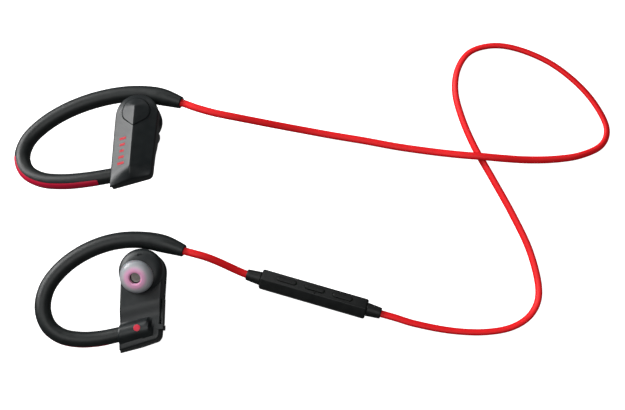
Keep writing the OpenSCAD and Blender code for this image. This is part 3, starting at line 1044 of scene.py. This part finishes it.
def makeMark(name, place):
    at = place @ Matrix.Translation(mark["at"])
    r, deep, high = mark["r"], mark["deep"], mark["crown"]
    crown = [(0.001, -high)] + [(r * t, -high * (1 - t ** 3) ** 0.7) for t in steps(0.15, 1, 8)]
    return lathe(name, crown + [(r, deep), (0.001, deep)], at, markRed, 48)


def motifGroup():
    # plain bars side by side, their widths swinging evenly from one to the next
    group, start, end = groupOf("bars", motif)
    new = group.nodes.new
    link = group.links.new
    line = new("GeometryNodeMeshLine")
    line.mode = "OFFSET"
    link(start.outputs["Bars"], line.inputs["Count"])
    step = new("ShaderNodeCombineXYZ")
    link(start.outputs["Pitch"], step.inputs["Y"])
    link(step.outputs[0], line.inputs["Offset"])
    bar = new("GeometryNodeMeshCube")
    size = new("ShaderNodeCombineXYZ")
    size.inputs["Z"].default_value = motifPlace["thick"]
    link(start.outputs["Width"], size.inputs["X"])
    link(start.outputs["Bar"], size.inputs["Y"])
    link(size.outputs[0], bar.inputs["Size"])
    index = new("GeometryNodeInputIndex")
    turn = new("ShaderNodeMath")
    turn.operation = "MULTIPLY"
    turn.inputs[1].default_value = math.pi / 2
    link(index.outputs[0], turn.inputs[0])
    wave = new("ShaderNodeMath")
    wave.operation = "COSINE"
    link(turn.outputs[0], wave.inputs[0])
    swing = new("ShaderNodeMath")
    swing.operation = "MULTIPLY_ADD"
    link(wave.outputs[0], swing.inputs[0])
    link(start.outputs["Swing"], swing.inputs[1])
    swing.inputs[2].default_value = 1
    scale = new("ShaderNodeCombineXYZ")
    link(swing.outputs[0], scale.inputs["X"])
    scale.inputs["Y"].default_value = 1
    scale.inputs["Z"].default_value = 1
    copies = new("GeometryNodeInstanceOnPoints")
    link(line.outputs["Mesh"], copies.inputs["Points"])
    link(bar.outputs["Mesh"], copies.inputs["Instance"])
    link(scale.outputs[0], copies.inputs["Scale"])
    real = new("GeometryNodeRealizeInstances")
    link(copies.outputs["Instances"], real.inputs["Geometry"])
    paint = new("GeometryNodeSetMaterial")
    paint.inputs["Material"].default_value = motifRed
    link(real.outputs["Geometry"], paint.inputs["Geometry"])
    link(paint.outputs["Geometry"], end.inputs["Geometry"])
    return group


barGroup = motifGroup()


def makeMotif(name, place):
    # printed on the left slope of the outer face
    p = motifPlace
    high = roofZ(p["x"], casing["bevel"] + footY(p["x"])) + p["lift"]
    tilt = Matrix.Rotation(-math.atan(casing["slope"]), 4, "Y")
    at = place @ Matrix.Translation((p["x"], p["y"], high)) @ tilt
    return runGroup(name, barGroup, motif, at, motifRed)


# both earpieces
pinRoom = {
    "from": -5,
    "rootR": 3.1,           # the hook's root
    "rootTo": 0.3,
    "pinR": 2.25,
    "pinTo": 7.8,
    "headR": 2.9,
    "headTo": 9.3,
}
socketRoom = {"low": (1.5, -18.7, -3.12), "high": (9.5, -10.9, -0.45)}
lugs = {
    # the two that hold the cover's pin: corners of their plan, and the heights of each
    "low": (6.7, -21.8),
    "high": (8.7, -20.0),
    "heights": ((-4.0, -3.4), (0.0, 0.54)),
}


def boxCutter(low, high, place):
    outline = [(low[0], low[1]), (high[0], low[1]), (high[0], high[1]), (low[0], high[1])]
    return prism("boxCut", outline, low[2], high[2], place)


def pinCutter(place):
    # room for the hook's root and its pin through the bulge
    c = pinRoom
    turn = Matrix.Rotation(pinSlope, 4, "Z") @ Matrix.Rotation(math.pi / 2, 4, "Y")
    profile = [
        (0.001, c["from"]), (c["rootR"], c["from"]), (c["rootR"], c["rootTo"]), (c["pinR"], c["rootTo"]),
        (c["pinR"], c["pinTo"]), (c["headR"], c["pinTo"]), (c["headR"], c["headTo"]), (0.001, c["headTo"]),
    ]
    return lathe("pinCut", profile, place @ Matrix.Translation(pinStart) @ turn, casingPlastic, 48)


def markCutter(place):
    at = place @ Matrix.Translation(mark["at"])
    r, room = mark["r"] + mark["gap"], mark["room"]
    return lathe("markCut", [(0.001, -1), (r, -1), (r, room), (0.001, room)], at, casingPlastic, 48)


for side, place in (("left", leftPlace), ("right", rightPlace)):
    body = side + "_earpiece"
    fit(makeSleeve(side + "HookSleeve", place, side), "frame", "hook_rubber", side + "_hook_sleeve")
    fit(makeStrip(side + "HookStrip", place, side), "frame", "strip_red", side + "_hook_strip")
    print("stage:", side, "hook")
    fit(makeOuterShell(side + "OuterShell", place), body, "casing_grey", side + "_outer_shell")
    cutters = [pinCutter(place), markCutter(place)]
    if side == "right":
        cutters.append(boxCutter(socketRoom["low"], socketRoom["high"], place))
    shell = makeInnerShell(side + "InnerShell", place, cutters)
    if side == "right":
        for low, high in lugs["heights"]:
            joined(shell, boxCutter((*lugs["low"], low), (*lugs["high"], high), place))
    fit(shell, body, "casing_black", side + "_inner_shell")
    fit(makeSpeaker(side + "SpeakerHousing", place), body, "casing_black", side + "_speaker_housing")
    fit(makeScreen(side + "NozzleMesh", place), body, "mesh_metal", side + "_nozzle_mesh")
    tip = fit(makeTip(side + "EarTip", place), body, "tip_silicone", side + "_ear_tip")
    fit(makeMark(side + "SideMark", place), body, "mark_red", side + "_side_mark")
    fit(makeMotif(side + "FaceMotif", place), body, "mark_red")
    print("stage:", side, "earpiece")

button = makeCap("leftSportButton", leftPlace, *faceCap["pressed"])
fit(button, "left_button_body", "casing_black", "left_sport_button")
cap = makeCap("rightAntennaCap", rightPlace, *faceCap["fixed"])
fit(cap, "right_earpiece", "casing_black", "right_antenna_cap")
cover = bevelled("right_socket_cover", "rightSocketCover", 0.18, flapRubber)
fit(cover, "socket_cover_body", "flap_rubber", "right_socket_cover")
print("stage: button, cap and cover")


# remote, in its own frame in millimetres, its length along x
remote = {
    "long": 42.0,
    "split": 2.8,
    "seam": 0.03,
    "wall": 0.9,
    "endSoft": 0.8,
    "middle": 2.9,          # height of the cords' middle
    "collarR": 1.42,        # hole for each strain relief's neck
    "hole": (0.4, -0.15),   # place of the microphone's hole
    "holeR": 0.35,
    "button": (8.0, 2.4),
    "gap": 0.2,
    "places": {"volume_up": -11, "call_button": 0, "volume_down": 11},
    "proud": {"volume_up": 0.35, "call_button": 0.45, "volume_down": 0.35},
}
remoteCorners = [
    (-2.5, 0, 0.5), (2.5, 0, 0.5), (3.7, 1.2, 0.5), (3.7, 4.1, 0.5), (-0.6, 6.2, 0.3), (-3.7, 4.1, 0.5),
    (-3.7, 1.2, 0.5),
]


def remotePlace():
    # from the remote's own frame to the row frame: its ends are the two strain reliefs
    low = [(a + b) / 2 for a, b in zip(*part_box("remote_left_relief"))]
    high = [(a + b) / 2 for a, b in zip(*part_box("remote_right_relief"))]
    ahead = Vector((high[0] - low[0], high[1] - low[1]))
    turn = Matrix.Rotation(math.atan2(ahead.y, ahead.x), 4, "Z")
    middle = Matrix.Translation(((low[0] + high[0]) / 2, (low[1] + high[1]) / 2, 0))
    return middle @ turn @ Matrix.Scale(mm, 4)


def roundedOutline(corners, shrink=0.0, n=5):
    # outline with each corner drawn as an arc, its sides moved in by shrink
    points = []
    count = len(corners)
    moved = []
    for i, (x, y, r) in enumerate(corners):
        before = Vector(corners[i - 1][:2])
        here = Vector((x, y))
        after = Vector(corners[(i + 1) % count][:2])
        a, b = (here - before).normalized(), (after - here).normalized()
        inA, inB = Vector((-a.y, a.x)), Vector((-b.y, b.x))
        corner = here + (inA + inB) / (1 + inA.dot(inB)) * shrink
        moved.append((corner, a, b, inA, inB, max(0.08, r - shrink)))
    for corner, a, b, inA, inB, r in moved:
        centre = corner + (inA + inB) / (1 + inA.dot(inB)) * r
        first, last = -inA, -inB
        angle = first.angle(last)
        for t in steps(0, 1, n):
            d = (first * math.sin((1 - t) * angle) + last * math.sin(t * angle)) / math.sin(angle)
            points.append(tuple(centre + d * r))
    return points


def remoteBar(name, place, shrink, endSoft, finish):
    # the remote's section drawn along x, rounded off at both ends
    half = remote["long"] / 2 - shrink
    rings = []
    for a in steps(0, 90, 6):
        x = -half + endSoft * (1 - math.sin(math.radians(a)))
        inwards = endSoft * (1 - math.sin(math.radians(90 - a))) if endSoft else 0
        rings.append((x, shrink + inwards))
    rings = rings[::-1]
    stations = rings + [(-x, s) for x, s in reversed(rings)]
    made = [[(x, y, z) for y, z in roundedOutline(remoteCorners, s)] for x, s in stations]
    return loft(name, made, place, finish, 30)


def slopePlace(place, x):
    # turns +Z onto the normal of the remote's rear slope, at a distance x along it
    top, side = remoteCorners[4], remoteCorners[3]
    turn = math.atan2(top[1] - side[1], side[0] - top[0])
    middle = (x, (top[0] + side[0]) / 2, (top[1] + side[1]) / 2)
    return place @ Matrix.Translation(middle) @ Matrix.Rotation(-turn, 4, "X")


def pill(inset, n=16):
    # outline of a button: straight sides with half-round ends
    long, wide = remote["button"]
    r = wide / 2 - inset
    reach = (long - wide) / 2
    right = arc(reach, 0, r, r, -90, 90, n)
    return right + [(-x, -y) for x, y in right]


keyCap = {
    "foot": -0.55,
    "edge": [(-0.22, 0), (-0.08, 0.05), (0, 0.2), (0.03, 0.5)],     # height from the top, and inset
    "crown": 0.05,
}


def makeKey(name, place, x, proud):
    rings = [[(u, v, keyCap["foot"]) for u, v in pill(remote["gap"])]]
    for z, inset in keyCap["edge"]:
        rings.append([(u, v, proud + z) for u, v in pill(remote["gap"] + inset)])
    rings.append([(u * 0.9, v * 0.2, proud + keyCap["crown"]) for u, v in pill(remote["gap"] + 0.6)])
    return loft(name, rings, slopePlace(place, x), keyRubber, 40)


strainRelief = {
    # radius and distance from the remote's end: neck and shoulder, taper, mouth and bore
    "shoulder": [(0.001, -1.5), (1.4, -1.5), (1.4, -0.05), (2.45, -0.02), (2.6, 0.15)],
    "taper": (0.45, 5.1),
    "mouth": [(2.08, 5.45), (1.92, 5.6), (1.62, 5.6), (1.6, 5.5), (1.6, 2.6), (0.001, 2.6)],
}


def makeRelief(name, place, side):
    # tapered sleeve with a soft shoulder and a bored end
    at = place @ Matrix.Translation((side * remote["long"] / 2, 0, remote["middle"]))
    at = at @ Matrix.Rotation(side * math.pi / 2, 4, "Y")
    profile = list(strainRelief["shoulder"])
    r, z = profile[-1]
    thin, long = strainRelief["taper"]
    profile += [(r - thin * t, z + long * t) for t in steps(0, 1, 8)[1:]]
    return lathe(name, profile + strainRelief["mouth"], at, reliefRubber, 64)


def makeHalf(part, place, low, high):
    # the part of the hollow bar between two heights, with room for reliefs, keys and microphone
    c = remote
    bar = remoteBar("remote" + part + "Shell", place, 0, c["endSoft"], remotePlastic)
    cutters = [remoteBar("cavity", place, c["wall"], 0, remotePlastic)]
    away = (-3, low) if part == "Top" else (high, 12)
    cutters.append(boxCutter((-30, -10, away[0]), (30, 10, away[1]), place))
    collar = [(0.001, -2), (c["collarR"], -2), (c["collarR"], 2), (0.001, 2)]
    for x in (-c["long"] / 2, c["long"] / 2):
        at = place @ Matrix.Translation((x, 0, c["middle"])) @ Matrix.Rotation(math.pi / 2, 4, "Y")
        cutters.append(lathe("reliefCut", collar, at, remotePlastic, 48))
    if part == "Top":
        for x in c["places"].values():
            cutters.append(prism("keyCut", pill(0), -2, 2, slopePlace(place, x)))
        bore = [(0.001, 0), (c["holeR"], 0), (c["holeR"], 5), (0.001, 5)]
        at = place @ Matrix.Translation((*c["hole"], c["split"]))
        cutters.append(lathe("holeCut", bore, at, remotePlastic, 24))
    return cut(bar, *cutters, sharp=30)


place = remotePlace()
top = makeHalf("Top", place, remote["split"] + remote["seam"], 9)
fit(top, "frame", "remote_black", "remote_top_shell")
bottom = makeHalf("Bottom", place, -3, remote["split"] - remote["seam"])
fit(bottom, "frame", "remote_black", "remote_bottom_shell")
for key, x in remote["places"].items():
    name = "remote" + "".join(w.capitalize() for w in key.split("_"))
    fit(makeKey(name, place, x, remote["proud"][key]), key + "_body", "key_rubber", "remote_" + key)
fit(makeRelief("remoteLeftRelief", place, -1), "frame", "relief_rubber", "remote_left_relief")
fit(makeRelief("remoteRightRelief", place, 1), "frame", "relief_rubber", "remote_right_relief")
print("stage: remote")


# CAD nodes that stay, with their finishes
kept = {
    "hook_wire": steel, "hook_pin": steel, "speaker_driver": driverSteel, "button_switch": steel,
    "battery": batteryWrap, "circuit_board": boardGreen, "charging_socket": steel, "cover_pin": steel,
    "remote_microphone": keyRubber,
}
for name, node in nodes.items():
    for ending, finish in kept.items():
        if name.endswith(ending):
            node.data.materials.clear()
            node.data.materials.append(finish)


# floor and light
stage = {
    "half": 8,
    "world": 0.1,
    "tones": ((0.9, 0.9, 0.9), (0.94, 0.94, 0.94)),
    "grain": 300,
    "rough": 0.9,
    "glow": 0.92,
}
lights = {
    # name: place, aim, size, power
    "leftSoftbox": ((-0.5, 0.3, 0.27), (0.0, 0.0, 0.0), (0.4, 0.35), 5.6),
    "topSoftbox": ((0.0, -0.15, 0.75), (0.06, 0.0, 0.0), (0.5, 0.5), 2.2),
    "backSoftbox": ((-0.1, 0.6, 0.35), (0.05, 0.0, 0.0), (0.8, 0.3), 1.0),
}


def floorFinish():
    mat, tree, shader = newFinish("paper")
    addClouds(tree, shader, stage["grain"], 2, stage["tones"], (0, 1))
    shader.inputs["Roughness"].default_value = stage["rough"]
    shader.inputs["Emission Color"].default_value = (1, 1, 1, 1)
    shader.inputs["Emission Strength"].default_value = stage["glow"]
    return mat


def makeFloor():
    h = stage["half"]
    mesh = bpy.data.meshes.new("floor")
    mesh.from_pydata([(-h, -h, 0), (h, -h, 0), (h, h, 0), (-h, h, 0)], [], [(0, 1, 2, 3)])
    mesh.materials.append(floorFinish())
    floor = bpy.data.objects.new("floor", mesh)
    bpy.context.scene.collection.objects.link(floor)
    floor.visible_diffuse = False
    floor.visible_glossy = False


def makeLight(name, at, aim, size, power):
    data = bpy.data.lights.new(name, "AREA")
    data.shape = "RECTANGLE"
    data.size, data.size_y = size
    data.energy = power
    lamp = bpy.data.objects.new(name, data)
    lamp.location = at
    lamp.rotation_euler = (Vector(aim) - Vector(at)).to_track_quat("-Z", "Y").to_euler()
    bpy.context.scene.collection.objects.link(lamp)


makeFloor()
for name, values in lights.items():
    makeLight(name, *values)
world = bpy.data.worlds.new("world")
world.use_nodes = True
sky = world.node_tree.nodes["Background"]
sky.inputs["Color"].default_value = (1, 1, 1, 1)
sky.inputs["Strength"].default_value = stage["world"]
bpy.context.scene.world = world
bpy.context.scene.view_settings.view_transform = "Standard"
print("stage: floor and light")
